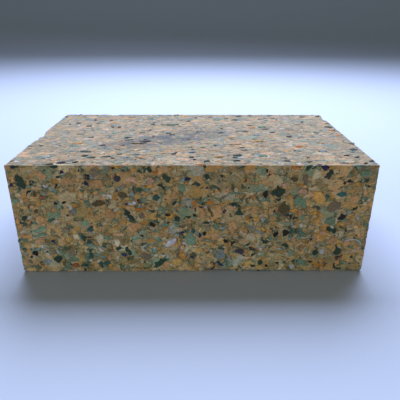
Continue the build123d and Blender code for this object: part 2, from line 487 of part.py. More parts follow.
def make_chips(faces, guards):
    """All chips, placed ones first, as {family: [[lump, ...], ...]}."""
    rng = Random(SEED)
    taken = list(guards)
    chips = {name: [] for name in FAMILIES}
    for name, family in FAMILIES.items():
        for face_name in ("front", "top"):
            for places in family[face_name]:
                lumps = placed_chip(rng, faces[face_name], places, taken)
                chips[name].append(lumps)
                taken += lumps
    for name, family in FAMILIES.items():
        for face_name in ("back", "left", "right", "top", "bottom"):
            face = faces[face_name]
            wanted = SCATTER * family["density"] * face[1] * face[2] / SQUARE_DECIMETRE
            if face_name == "top":
                wanted -= len(family["top"])
            for _ in range(round(wanted)):
                lumps = scattered_chip(rng, face, family, taken)
                if lumps:
                    chips[name].append(lumps)
                    taken += lumps
    return chips


def chip_solid(lumps):
    solid = lumps[0].solid()
    for lump in lumps[1:]:
        solid = solid.fuse(lump.solid())
    return solid


def main():
    rng = Random(SEED)
    faces = block_faces()
    block = whole_block()
    hollows = torn_places(rng, faces)
    sawn = block.cut(*[hollow.solid() for hollow in hollows])

    fibres = {
        "white_yarn_loop": fibre(faces["front"], YARN_ROUTE, YARN_DIAMETER),
        "purple_thread": fibre(faces["front"], THREAD_ROUTE, THREAD_DIAMETER),
    }
    guards = hollows + fibre_guard(rng, faces["front"], YARN_ROUTE, YARN_DIAMETER)
    guards += fibre_guard(rng, faces["front"], THREAD_ROUTE, THREAD_DIAMETER)

    nodes = {}
    pockets = []
    for name, chips in make_chips(faces, guards).items():
        raw = [chip_solid(lumps) for lumps in chips]
        pockets += raw
        nodes[name] = Compound([solid for chip in raw for solid in chip.intersect(block).solids()])
    for name, strand in fibres.items():
        pockets.append(strand)
        nodes[name] = Compound(strand.intersect(block).solids())
    nodes["bonded_crumb_body"] = sawn.cut(*pockets)

    os.makedirs("parts", exist_ok=True)
    for name, shape in nodes.items():
        export_step(shape, os.path.join("parts", name + ".step"))


main()
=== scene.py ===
import math

import bmesh
import bpy
import numpy as np
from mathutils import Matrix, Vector, noise
from mathutils.bvhtree import BVHTree


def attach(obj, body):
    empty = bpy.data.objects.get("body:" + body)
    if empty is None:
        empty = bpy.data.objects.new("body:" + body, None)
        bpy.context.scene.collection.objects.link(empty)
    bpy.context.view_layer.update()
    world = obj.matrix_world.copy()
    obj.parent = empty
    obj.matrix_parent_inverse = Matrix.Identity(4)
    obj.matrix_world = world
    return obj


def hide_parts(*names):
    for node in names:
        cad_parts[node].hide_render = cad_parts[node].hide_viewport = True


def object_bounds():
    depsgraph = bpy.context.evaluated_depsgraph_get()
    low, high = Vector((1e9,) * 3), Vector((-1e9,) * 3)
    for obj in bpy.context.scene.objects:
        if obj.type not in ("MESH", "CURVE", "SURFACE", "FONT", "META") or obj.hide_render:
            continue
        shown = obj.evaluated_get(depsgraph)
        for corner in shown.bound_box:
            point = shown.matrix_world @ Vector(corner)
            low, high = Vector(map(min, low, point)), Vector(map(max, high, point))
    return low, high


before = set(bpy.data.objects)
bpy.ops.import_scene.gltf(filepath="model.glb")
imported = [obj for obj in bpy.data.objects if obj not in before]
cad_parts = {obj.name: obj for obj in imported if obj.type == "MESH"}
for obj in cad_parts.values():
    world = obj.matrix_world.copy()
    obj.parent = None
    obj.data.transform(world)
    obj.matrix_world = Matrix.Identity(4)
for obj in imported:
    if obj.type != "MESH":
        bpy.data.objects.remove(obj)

# The bonded chip-foam block. Metres, in the row frame: origin under the middle, front face at -Y.

CAD_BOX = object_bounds()
LOW, HIGH = (np.array(corner) for corner in CAD_BOX)
MM = 0.001

BODY_GRID = 1.6 * MM          # spacing of the body's surface points
CHIP_VOXEL = 0.9 * MM         # the same for the chips
PRESSED = (1.0, 1.9, 1.15)    # how much flatter the crumb lies along each axis


# ---------------------------------------------------------------- camera, light and floor


def make_camera():
    data = bpy.data.cameras.new("camera")
    data.lens = 38.35
    data.sensor_width = 36.0
    data.clip_start = 0.01
    camera = bpy.data.objects.new("camera", data)
    camera.location = (0.0036, -0.6300, 0.3230)
    camera.rotation_euler = (math.radians(66.16), math.radians(-0.18), math.radians(-0.54))
    bpy.context.collection.objects.link(camera)
    bpy.context.scene.camera = camera


def area_light(name, place, target, size, power, colour):
    data = bpy.data.lights.new(name, "AREA")
    data.shape = "RECTANGLE"
    data.size, data.size_y = size
    data.energy = power
    data.color = colour
    light = bpy.data.objects.new(name, data)
    light.location = place
    light.visible_camera = False
    light.rotation_euler = (Vector(target) - Vector(place)).to_track_quat("-Z", "Y").to_euler()
    bpy.context.collection.objects.link(light)


def make_lights():
    area_light("key", (0.1, 1.2, 1.8), (0, 0, 0.1), (2.2, 1.3), 120, (0.60, 0.68, 1.0))
    area_light("fill", (-0.2, -2.2, 0.5), (0, 0, 0.05), (2.2, 0.7), 12, (1.0, 0.94, 0.78))
    world = bpy.data.worlds.new("studio")
    world.use_nodes = True
    world.node_tree.nodes["Background"].inputs["Color"].default_value = (0.84, 0.93, 1.0, 1)
    world.node_tree.nodes["Background"].inputs["Strength"].default_value = 0.17
    bpy.context.scene.world = world
    bpy.context.scene.view_settings.view_transform = "Standard"


def make_floor():
    """A pale floor that sweeps up into a plain backdrop far behind the block."""
    half_width, front, bend, height, radius = 6.0, -4.0, 3.0, 5.0, 1.5
    steps = 16
    profile = [(front, 0.0)]
    for step in range(steps + 1):
        angle = math.pi / 2 * step / steps
        profile.append((bend + radius * math.sin(angle), radius - radius * math.cos(angle)))
    profile.append((bend + radius, height))
    verts = [(side * half_width, y, z) for y, z in profile for side in (-1, 1)]
    faces = [(2 * i, 2 * i + 1, 2 * i + 3, 2 * i + 2) for i in range(len(profile) - 1)]
    mesh = bpy.data.meshes.new("floor")
    mesh.from_pydata(verts, [], faces)
    mesh.shade_smooth()
    floor = bpy.data.objects.new("floor", mesh)
    bpy.context.collection.objects.link(floor)
    material = bpy.data.materials.new("floor")
    material.use_nodes = True
    shader = material.node_tree.nodes["Principled BSDF"]
    shader.inputs["Base Color"].default_value = (0.50, 0.55, 0.60, 1)
    shader.inputs["Roughness"].default_value = 0.8
    mesh.materials.append(material)


# ---------------------------------------------------------------- node networks


class Net:
    """Makes nodes in a shader or a geometry tree with short calls."""

    def __init__(self, tree):
        self.tree = tree

    def node(self, kind, settings=None, **inputs):
        node = self.tree.nodes.new(kind)
        for key, value in (settings or {}).items():
            setattr(node, key, value)
        for key, value in inputs.items():
            self.feed(node.inputs[key], value)
        return node

    def feed(self, socket, value):
        if isinstance(value, bpy.types.NodeSocket):
            self.tree.links.new(value, socket)
        else:
            socket.default_value = value

    def math(self, operation, a, b=0.0, clamp=False):
        node = self.node("ShaderNodeMath", {"operation": operation, "use_clamp": clamp})
        self.feed(node.inputs[0], a)
        self.feed(node.inputs[1], b)
        return node.outputs[0]

    def vector(self, operation, a, b=(0, 0, 0)):
        node = self.node("ShaderNodeVectorMath", {"operation": operation})
        self.feed(node.inputs[0], a)
        self.feed(node.inputs[1], b)
        return node.outputs[0]

    def in_millimetres(self, position):
        return self.vector("MULTIPLY", position, (1 / MM, 1 / MM, 1 / MM))

    def mix(self, factor, a, b):
        return self.math("ADD", a, self.math("MULTIPLY", factor, self.math("SUBTRACT", b, a)))

    def mix_colour(self, factor, a, b, blend="MIX"):
        node = self.node("ShaderNodeMix", {"data_type": "RGBA", "blend_type": blend})
        self.feed(node.inputs[0], factor)
        self.feed(node.inputs[6], a)
        self.feed(node.inputs[7], b)
        return node.outputs[2]

    def smooth(self, value, low, high, to_low=0.0, to_high=1.0):
        node = self.node("ShaderNodeMapRange", {"interpolation_type": "SMOOTHSTEP"})
        for socket, item in zip(node.inputs, (value, low, high, to_low, to_high)):
            self.feed(socket, item)
        return node.outputs[0]

    def noise(self, coords, size, detail=2.0, roughness=0.5):
        """Noise whose lumps are about size across, in the units of coords."""
        return self.node("ShaderNodeTexNoise", Vector=coords, Scale=1 / size, Detail=detail,
                         Roughness=roughness)

    def voronoi(self, coords, size, feature="F1"):
        return self.node("ShaderNodeTexVoronoi", {"feature": feature}, Vector=coords, Scale=1 / size)

    def ramp(self, value, stops, interpolation="CONSTANT"):
        node = self.node("ShaderNodeValToRGB", Fac=value)
        node.color_ramp.interpolation = interpolation
        elements = node.color_ramp.elements
        while len(elements) < len(stops):
            elements.new(1.0)
        for element, (position, colour) in zip(elements, stops):
            element.position = position
            element.color = colour
        return node.outputs[0]


def linear(red, green, blue):
    """An 8-bit sRGB colour as the linear one that shaders use."""
    channels = (c / 255 for c in (red, green, blue))
    return tuple(c / 12.92 if c <= 0.04045 else ((c + 0.055) / 1.055) ** 2.4 for c in channels) + (1.0,)


# Layers of crumb in millimetres, the later ones on top: cell size, share of the cells that show, how
# far their rims draw in, how softly they end, how fully they cover, and the row of colours they use.
CRUMB_LAYERS = [
    (6.5, 1.00, 0.0, 0.1, 1.00, "crumb"),
    (3.4, 0.32, 0.1, 0.4, 0.80, "crumb"),
    (11.0, 0.34, 0.6, 0.8, 0.75, "lump"),
    (22.0, 0.36, 1.6, 1.6, 0.70, "lump"),
    (2.9, 0.09, 0.2, 0.4, 0.85, "speck"),
    (1.9, 0.50, 0.0, 0.3, 0.38, "crumb"),
]
CRUMB_WANDER = [(16.0, 11.0), (5.0, 4.0), (2.0, 1.6)]      # size and reach of each warp


def crumb(net, position):
    """The pattern of pressed crumb: for each layer, what each cell is like and where it shows."""
    coords = net.vector("MULTIPLY", position, tuple(factor / MM for factor in PRESSED))
    for size, reach in CRUMB_WANDER:
        wander = net.vector("SUBTRACT", net.noise(coords, size).outputs["Color"], (0.5, 0.5, 0.5))
        coords = net.vector("ADD", coords, net.vector("MULTIPLY", wander, (reach, reach, reach)))
    layers = []
    for size, share, inset, softness, cover, row in CRUMB_LAYERS:
        cell = net.node("ShaderNodeSeparateXYZ", Vector=net.voronoi(coords, size).outputs["Color"])
        kind, show, tone = cell.outputs
        rim = net.voronoi(coords, size, "DISTANCE_TO_EDGE").outputs["Distance"]
        rim = net.math("SUBTRACT", net.math("MULTIPLY", rim, size), inset)
        shown = net.math("LESS_THAN", show, share)
        mask = net.math("MULTIPLY", shown, net.smooth(rim, 0.0, softness, 0.0, cover))
        lift = net.math("DIVIDE", show, share)
        layers.append({"row": row, "kind": kind, "lift": lift, "tone": tone, "rim": rim, "mask": mask})
    return coords, layers


def stacked(layers, value, mix):
    """One value over all the layers, each laid over those before it."""
    result = value(layers[0])
    for layer in layers[1:]:
        result = mix(layer["mask"], result, value(layer))
    return result


# ---------------------------------------------------------------- materials


def new_material(name):
    material = bpy.data.materials.new(name)
    material.use_nodes = True
    net = Net(material.node_tree)
    shader = material.node_tree.nodes["Principled BSDF"]
    position = net.node("ShaderNodeTexCoord").outputs["Object"]
    return material, net, shader, position


def shaded(net, colour, shade):
    """The colour made lighter or darker by a factor."""
    tint = net.node("ShaderNodeCombineXYZ", X=shade, Y=shade, Z=shade).outputs[0]
    return net.mix_colour(1.0, colour, tint, "MULTIPLY")


# Patches, each its middle, reach and turn: a smear of dirt on the tread, and painted bounce light that
# makes the lower front paler and bluer.
SMEAR = ((-34 * MM, -20 * MM, 152 * MM), (128 * MM, 36 * MM, 6 * MM), math.radians(26))
SMEAR_STRENGTH = 0.95
DIRT = (76, 78, 68)
PAINTED_BOUNCE_PATCH = ((-80 * MM, -140 * MM, 0), (380 * MM, 90 * MM, 88 * MM), 0)
PAINTED_BOUNCE_STRENGTH = 0.9
PAINTED_BOUNCE_TINT = (1.30, 1.55, 2.0, 1.0)
RAGGED_SIZE = 22.0       # in millimetres, like the sizes below
GRAIN_SIZE = 1.6
PORE_SIZE = 0.9
PORE_RELIEF = 0.6 * MM


def patchy(net, position, middle, reach, turn):
    """A ragged patch round a place in the block, 1 in its middle and 0 beyond its reach."""
    place = net.vector("SUBTRACT", position, middle)
    about_z = {"rotation_type": "Z_AXIS"}
    turned = net.node("ShaderNodeVectorRotate", about_z, Vector=place, Angle=-turn)
    scaled = net.vector("DIVIDE", turned.outputs[0], reach)
    far = net.node("ShaderNodeVectorMath", {"operation": "LENGTH"}, Vector=scaled).outputs["Value"]
    raggedness = net.noise(net.in_millimetres(position), RAGGED_SIZE, 4.0, 0.65).outputs[0]
    ragged = net.smooth(raggedness, 0.34, 0.60)
    return net.math("MULTIPLY", net.smooth(far, 0.4, 1.05, 1.0, 0.0), ragged)


def foam_surface(net, shader, position, colour, pore_depth=0.25):
    """Open-cell foam: grain of torn cells, fine pores in relief, and a soft bloom at low angles."""
    coords = net.in_millimetres(position)
    grain = net.noise(coords, GRAIN_SIZE, 3.0, 0.6).outputs[0]
    pores = net.voronoi(coords, PORE_SIZE).outputs["Distance"]
    grain_shade = net.smooth(grain, 0.3, 0.7, 0.80, 1.12)
    shade = net.math("MULTIPLY", grain_shade, net.smooth(pores, 0.15, 0.5, 1.06, 0.86))
    colour = shaded(net, colour, shade)
    # Painted light: the lower front is tinted paler and bluer, standing in for bounce light from below.
    painted_bounce = net.math("MULTIPLY", patchy(net, position, *PAINTED_BOUNCE_PATCH), PAINTED_BOUNCE_STRENGTH)
    colour = net.mix_colour(painted_bounce, colour, PAINTED_BOUNCE_TINT, "MULTIPLY")
    dirt = net.math("MULTIPLY", patchy(net, position, *SMEAR), SMEAR_STRENGTH)
    net.feed(shader.inputs["Base Color"], net.mix_colour(dirt, colour, linear(*DIRT)))
    relief = net.math("ADD", net.math("MULTIPLY", grain, 1.2), net.math("MULTIPLY", pores, -0.6))
    bump = net.node("ShaderNodeBump", Height=relief, Strength=pore_depth, Distance=PORE_RELIEF)
    net.feed(shader.inputs["Normal"], bump.outputs[0])
    shader.inputs["Roughness"].default_value = 0.92
    shader.inputs["Specular IOR Level"].default_value = 0.25
    shader.inputs["Sheen Weight"].default_value = 0.8
    shader.inputs["Sheen Roughness"].default_value = 0.35
    shader.inputs["Sheen Tint"].default_value = (0.84, 0.90, 1.0, 1.0)


# The colours of each kind of crumb, and from which share of the cells each one starts.
COLOUR_ROWS = {
    "crumb": [
        (0.00, (184, 160, 108)), (0.20, (204, 168, 108)), (0.34, (160, 150, 104)),
        (0.44, (196, 176, 136)), (0.54, (108, 140, 116)), (0.62, (210, 158, 98)),
        (0.72, (152, 130, 80)), (0.79, (104, 114, 84)), (0.84, (146, 158, 150)),
        (0.87, (204, 146, 60)), (0.91, (56, 92, 76)), (0.955, (46, 46, 54)),
        (0.975, (214, 206, 188)),
    ],
    "lump": [
        (0.00, (208, 164, 108)), (0.20, (202, 158, 88)), (0.34, (190, 168, 124)),
        (0.46, (214, 162, 110)), (0.60, (112, 146, 118)), (0.72, (162, 142, 90)),
        (0.80, (210, 188, 144)), (0.87, (124, 112, 80)), (0.93, (158, 166, 150)),
        (0.96, (210, 148, 68)),
    ],
    "speck": [
        (0.00, (38, 72, 60)), (0.30, (42, 50, 88)), (0.45, (36, 34, 38)),
        (0.60, (70, 126, 114)), (0.78, (178, 106, 50)), (0.88, (196, 200, 196)),
    ],
}


CRUMB_CLOUD_SIZE = 4.0      # in millimetres, like the size below
BREAK_UP_SIZE = 6.0
STREAK = (0.12, 0.12, 0.75)     # how finely the streaks follow one another along each axis


def crumb_material():
    """Pressed crumb: each crumb its own colour, clouded and streaked, with painted shade darkening it
    towards a broken rim.
    """
    material, net, shader, position = new_material("bonded_crumb")
    coords, layers = crumb(net, position)
    rows = {name: [(place, linear(*rgb)) for place, rgb in row] for name, row in COLOUR_ROWS.items()}
    colour = stacked(layers, lambda layer: net.ramp(layer["kind"], rows[layer["row"]]), net.mix_colour)

    tone = stacked(layers, lambda layer: net.smooth(layer["tone"], 0.0, 1.0, 0.80, 1.15), net.mix)
    rim = stacked(layers, lambda layer: layer["rim"], net.mix)
    cloud = net.smooth(net.noise(coords, CRUMB_CLOUD_SIZE, 5.0, 0.7).outputs[0], 0.32, 0.68, 0.84, 1.14)
    streak_coords = net.vector("MULTIPLY", coords, STREAK)
    streak = net.smooth(net.noise(streak_coords, 1.0, 3.0, 0.6).outputs[0], 0.3, 0.7, 0.88, 1.10)
    # Painted shade: each crumb darker towards its rim, and darker still in a narrow crevice that a
    # noise breaks up.
    painted_rim_shade = net.smooth(rim, 0.0, 2.4, 0.86, 1.05)
    break_up = net.smooth(net.noise(coords, BREAK_UP_SIZE, 2.0).outputs[0], 0.44, 0.64, 0.56, 1.0)
    painted_crevice_shade = net.mix(net.smooth(rim, 0.0, 0.9), break_up, 1.0)
    shade = tone
    for factor in (cloud, streak, painted_rim_shade, painted_crevice_shade):
        shade = net.math("MULTIPLY", shade, factor)
    foam_surface(net, shader, position, shaded(net, colour, shade), 0.35)
    return material


FOAMS = {
    "bottle_green_chips": (34, 66, 52),
    "teal_chips": (44, 92, 86),
    "sage_green_chips": (120, 148, 116),
    "black_chips": (22, 22, 28),
    "navy_chips": (28, 34, 78),
    "plum_chips": (66, 58, 76),
    "olive_brown_chips": (98, 84, 54),
    "taupe_chips": (136, 120, 96),
    "grey_chips": (142, 150, 148),
    "white_chips": (214, 200, 200),
    "cream_chips": (216, 196, 152),
    "peach_chips": (206, 158, 106),
    "pink_chips": (210, 162, 130),
    "ochre_chips": (206, 156, 84),
    "orange_chips": (208, 128, 46),
    "rust_chips": (156, 98, 60),
    "film_scraps": (186, 204, 222),
    "blue_chips": (44, 122, 164),
    "red_specks": (196, 30, 56),
}
BINDER = (158, 140, 98)     # the yellowed binder and dust that creeps over a chip from its rim
CREEP_SIZE = 2.6            # in millimetres, like the size below
CHIP_CLOUD_SIZE = 3.4


def chip_material(name, rgb):
    """One foam's chips: each its own tone, clouded, with painted shade at its rim and binder creeping
    in over its rim.
    """
    material, net, shader, position = new_material(name)
    tone = net.node("ShaderNodeAttribute", {"attribute_name": "tone"}).outputs["Fac"]
    rim = net.node("ShaderNodeAttribute", {"attribute_name": "rim"}).outputs["Fac"]
    coords = net.in_millimetres(position)
    cloud = net.smooth(net.noise(coords, CHIP_CLOUD_SIZE, 5.0, 0.7).outputs[0], 0.32, 0.68, 0.76, 1.20)
    shade = net.math("MULTIPLY", net.smooth(tone, 0.0, 1.0, 0.78, 1.12), cloud)
    # Painted shade: each chip darker towards its rim.
    shade = net.math("MULTIPLY", shade, net.smooth(rim, 0.0, 0.5, 0.84, 1.04))
    colour = shaded(net, linear(*rgb), shade)
    ragged = net.noise(coords, CREEP_SIZE, 5.0, 0.75).outputs[0]
    creep = net.math("SUBTRACT", ragged, net.math("MULTIPLY", rim, 0.5))
    stain = net.smooth(creep, 0.26, 0.52, 0.06, 0.62)
    foam_surface(net, shader, position, net.mix_colour(stain, colour, linear(*BINDER)))
    return material


FOLD_SIZE = 1.3             # in millimetres, like the size below
FILM_CLOUD_SIZE = 3.0
FOLD_RELIEF = 0.5 * MM
FOLD_STRETCH = (0.6, 0.6, 1.5)


def film_material(name, rgb):
    """Thin crinkled packing film, satin bright, with a milky cloudiness."""
    material, net, shader, position = new_material(name)
    coords = net.in_millimetres(position)
    stretched = net.vector("MULTIPLY", coords, FOLD_STRETCH)
    folds = net.voronoi(stretched, FOLD_SIZE, "DISTANCE_TO_EDGE").outputs[0]
    cloud = net.smooth(net.noise(coords, FILM_CLOUD_SIZE, 4.0, 0.6).outputs[0], 0.3, 0.7, 0.72, 1.10)
    net.feed(shader.inputs["Base Color"], shaded(net, linear(*rgb), cloud))
    bump = net.node("ShaderNodeBump", Height=folds, Strength=0.7, Distance=FOLD_RELIEF)
    net.feed(shader.inputs["Normal"], bump.outputs[0])
    shader.inputs["Roughness"].default_value = 0.3
    shader.inputs["Specular IOR Level"].default_value = 0.6
    shader.inputs["Coat Weight"].default_value = 0.3
    shader.inputs["Coat Roughness"].default_value = 0.15
    return material


# ---------------------------------------------------------------- meshes


def mesh_arrays(mesh):
    places = np.empty(len(mesh.vertices) * 3)
    mesh.vertices.foreach_get("co", places)
    return places.reshape(-1, 3)


def set_places(mesh, places):
    mesh.vertices.foreach_set("co", places.astype(np.float32).ravel())
    mesh.update()


def store_values(mesh, name, values):
    """One number for each point, for the material to read."""
    mesh.attributes.new(name, "FLOAT", "POINT").data.foreach_set("value", values)


def add_piece(name, mesh, material, node):
    piece = bpy.data.objects.new(name, mesh)
    bpy.context.collection.objects.link(piece)
    mesh.materials.clear()
    mesh.materials.append(material)
    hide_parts(node)
    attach(piece, "root")
    return piece


def applied(mesh, add_modifier):
    """The mesh after one modifier."""
    holder = bpy.data.objects.new("holder", mesh)
    bpy.context.collection.objects.link(holder)
    add_modifier(holder)
    depsgraph = bpy.context.evaluated_depsgraph_get()
    result = bpy.data.meshes.new_from_object(holder.evaluated_get(depsgraph))
    bpy.data.objects.remove(holder)
    return result


TEAR_SEED, CRUMBLE_SEED, UNDER_SEED = 1, 3, 5     # where the seeds of each kind of shift begin
SEED_STEP = (7.31, 3.17, 5.71)     # how far apart in the noise the seeds lie
AXIS_STEP = 19.3


def wander(places, size, reach, seed):
    """Smooth shifts of up to about reach, changing over lengths of about size, the same each run."""
    x, y, z = (seed * step for step in SEED_STEP)
    starts = [Vector((x, y, z + axis * AXIS_STEP)) for axis in range(3)]
    shifts = [[noise.noise(Vector(place) / size + start) for start in starts] for place in places]
    return np.array(shifts) * reach


# ---------------------------------------------------------------- chips

TOUCH = 0.02 * MM            # a point this near a face of the block lies in it
CHIP_LIFT = (0.15 * MM, 0.55 * MM)     # least and most that a chip stands proud of the sawn face
EDGE_LIFT = 0.3              # a chip in an edge stands only this share of that range
CHIP_GROWTH = 0.55 * MM      # what the rounding of its rims will take away again
CHIP_TILT = 0.3 * MM
CHIP_CROWN = 0.6 * MM        # height of a large chip's dome
LARGE_CHIP = 5.0 * MM
SMALL_CHIP = 4.0 * MM        # a chip this small keeps its size when the tread's chips are pressed
CHIP_PRESSING = 0.6          # a chip of the tread or an end lies this much flatter front to back
CHIP_UNDER = 0.15 * MM       # how far a chip of the underside stands out of the crumb
CHANCE_SCALE = 997           # spreads the chips over the cells of the noise
CHANCE_STEP = 7.0
TEARS = [(6.0 * MM, 2.4 * MM), (2.4 * MM, 1.4 * MM)]     # size and reach of what makes a rim ragged
NEAR_FACE = 5 * MM           # this close to a sawn face the tears hardly move a point across it
NEAR_FACE_TEAR = 0.14


def islands(bm):
    """The separate solids of a mesh, as lists of vertices."""
    left = set(bm.verts)
    found = []
    for start in bm.verts:
        if start not in left:
            continue
        island, front = [], [start]
        left.discard(start)
        while front:
            vert = front.pop()
            island.append(vert)
            for edge in vert.link_edges:
                other = edge.other_vert(vert)
                if other in left:
                    left.discard(other)
                    front.append(other)
        found.append(island)
    return found


def outward(places):
    """Sum of the outward directions of the block faces that these points touch."""
    direction = (np.abs(places - HIGH) < TOUCH).any(axis=0).astype(float)
    direction -= (np.abs(places - LOW) < TOUCH).any(axis=0)
    return direction


class Chip:
    """What one torn chip is like: where it is, how it lies in the face, and its own chance values."""

    def __init__(self, places):
        self.middle = places.mean(axis=0)
        start = Vector(self.middle * CHANCE_SCALE)
        chances = (noise.cell(start + Vector((i * CHANCE_STEP, 0, 0))) for i in range(4))
        self.lift, self.tone, *tilt = chances
        self.tilt = (np.array(tilt) - 0.5) * 2 * CHIP_TILT
        out = outward(places)
        self.out = out / max(1.0, np.linalg.norm(out))
        self.lift *= 1.0 if abs(out).sum() < 2 else EDGE_LIFT
        flattened = abs(out[1]) < 0.5 and np.ptp(places[:, 1]) > SMALL_CHIP
        self.pressed = np.array((1.0, CHIP_PRESSING if flattened else 1.0, 1.0))
        offsets = (places - self.middle) * self.pressed
        flat = offsets - np.outer(offsets @ self.out, self.out)
        _, axes = np.linalg.eigh(flat.T @ flat)
        self.axes = axes[:, 1:].T
        self.reach = np.abs(offsets @ self.axes.T).max(axis=0)

    def widened(self, places):
        """The chip before its rims are rounded off: a little wider, and standing a little proud."""
        offsets = (places - self.middle) * self.pressed
        across = offsets @ self.axes.T
        wider = (across * CHIP_GROWTH / self.reach) @ self.axes
        least, most = CHIP_LIFT
        return self.middle + offsets + wider + self.out * (least + (most - least) * self.lift)

    def crowned(self, place):
        """Where a point goes as the chip domes and tips, and how far inside the rim it is."""
        across = self.axes @ (place - self.middle) / self.reach
        inside = max(0.0, 1.0 - across @ across)
        crown = CHIP_CROWN * min(1.0, self.reach.min() / LARGE_CHIP)
        return place + self.out * (crown * inside + across @ self.tilt), inside


def chip_mesh(name):
    """Torn chips: each CAD solid given rounded rims, a low crown and a ragged outline."""
    bm = bmesh.new()
    bm.from_mesh(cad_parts[name].data)
    bmesh.ops.remove_doubles(bm, verts=bm.verts, dist=0.001 * MM)
    bm.verts.index_update()
    owner = np.zeros(len(bm.verts), int)
    chips = []
    for island in islands(bm):
        places = np.array([vert.co[:] for vert in island])
        chip = Chip(places)
        for vert, place in zip(island, chip.widened(places)):
            vert.co = place
        owner[[vert.index for vert in island]] = len(chips)
        chips.append(chip)
    face_owner = [owner[face.verts[0].index] for face in bm.faces]
    tree = BVHTree.FromBMesh(bm)
    mesh = bpy.data.meshes.new(name)
    bm.to_mesh(mesh)
    bm.free()

    def remesh(holder):
        modifier = holder.modifiers.new("remesh", "REMESH")
        modifier.mode = "VOXEL"
        modifier.voxel_size = CHIP_VOXEL

    mesh = applied(mesh, remesh)
    whose = [chips[face_owner[tree.find_nearest(place)[2]]] for place in mesh_arrays(mesh)]
    bm = bmesh.new()
    bm.from_mesh(mesh)
    all_axes = {"use_axis_x": True, "use_axis_y": True, "use_axis_z": True}
    bmesh.ops.smooth_vert(bm, verts=bm.verts, factor=0.5, **all_axes)
    bm.to_mesh(mesh)
    bm.free()
    crowned = [chip.crowned(place) for chip, place in zip(whose, mesh_arrays(mesh))]
    places = np.array([place for place, _ in crowned])
    store_values(mesh, "rim", [inside for _, inside in crowned])
    store_values(mesh, "tone", [chip.tone for chip in whose])
    shift = sum(wander(places, size, reach, seed)
                for seed, (size, reach) in enumerate(TEARS, TEAR_SEED))
    near_face = np.minimum(places - LOW, HIGH - places) < NEAR_FACE
    places += np.where(near_face, NEAR_FACE_TEAR, 1.0) * shift
    places[:, 2] = np.maximum(places[:, 2], LOW[2] - CHIP_UNDER)
    set_places(mesh, places)
    mesh.shade_smooth()
    return mesh


def make_chips():
    meshes = []
    for name, rgb in FOAMS.items():
        mesh = chip_mesh(name)
        material = film_material(name, rgb) if name == "film_scraps" else chip_material(name, rgb)
        add_piece(name.replace("_", " ").title().replace(" ", ""), mesh, material, name)
        meshes.append(mesh)
    return meshes


# ---------------------------------------------------------------- the bonded body


def lattice_box():
    """Surface points of the block on a lattice, their quads, and each point's outward direction."""
    counts = [max(2, round(side / BODY_GRID)) for side in HIGH - LOW]
    index = -np.ones([count + 1 for count in counts], int)
    grid = np.stack(np.meshgrid(*[np.arange(count + 1) for count in counts], indexing="ij"), axis=-1)
    ends = np.array(counts)
    on_surface = ((grid == 0) | (grid == ends)).any(axis=-1)
    cells = grid[on_surface]
    index[on_surface] = np.arange(len(cells))
    quads = []
    for axis in range(3):
        for end in (0, counts[axis]):
            sheet = np.take(index, end, axis=axis)
            a, b, c, d = sheet[:-1, :-1], sheet[1:, :-1], sheet[1:, 1:], sheet[:-1, 1:]
            quad = np.stack([a, b, c, d], axis=-1).reshape(-1, 4)
            flip = (end == 0) != (axis == 1)
            quads.append(quad[:, ::-1] if flip else quad)
    places = LOW + cells / ends * (HIGH - LOW)
    direction = (cells == ends).astype(float) - (cells == 0)
    return places, np.concatenate(quads), direction


OWN_HEIGHT = 0.6           # in millimetres, like the heights below
CREVICE, TOP = -0.45, 0.40
SLOPE = 4.5                # width of a crumb's slope from its crevice to its top


def crumb_height(net, layer):
    """Rounded tops that stand proud by an amount of their own, over narrow crevices."""
    own = net.math("MULTIPLY", net.math("SUBTRACT", layer["lift"], 0.5), OWN_HEIGHT)
    return net.math("ADD", own, net.smooth(layer["rim"], 0.0, SLOPE, CREVICE, TOP))


def relief_tree():
    """A geometry network that stores the crumb's relief in millimetres as the attribute relief."""
    tree = bpy.data.node_groups.new("relief", "GeometryNodeTree")
    tree.interface.new_socket("Geometry", in_out="INPUT", socket_type="NodeSocketGeometry")
    tree.interface.new_socket("Geometry", in_out="OUTPUT", socket_type="NodeSocketGeometry")
    net = Net(tree)
    start = net.node("NodeGroupInput")
    end = net.node("NodeGroupOutput")
    _, layers = crumb(net, net.node("GeometryNodeInputPosition").outputs[0])
    height = stacked(layers, lambda layer: crumb_height(net, layer), net.mix)
    store = net.node("GeometryNodeStoreNamedAttribute", {"data_type": "FLOAT", "domain": "POINT"},
                     Geometry=start.outputs[0], Name="relief", Value=height)
    net.feed(end.inputs[0], store.outputs[0])
    return tree


ABOVE = 5 * MM             # chips are looked for from this high above a sawn face
COVER = 0.6 * MM           # the body lies this far under a chip's own surface
RIM_REACH = 0.8 * MM       # this near a chip the crumb stays below a level, so that small chips show
RIM_LEVEL = 0.15 * MM
CRUMBLES = [(7 * MM, 0.35 * MM), (2.5 * MM, 0.3 * MM)]     # size and reach of the crumbling of an edge
EDGE_REACH = 2.5 * MM
EDGE_CALM = 0.6            # share of the relief that the saw takes away at an edge
UNDER_TEAR = (9 * MM, 4.5 * MM)     # size and reach of what is torn from the lower edges
UNDER_REACH = 4 * MM


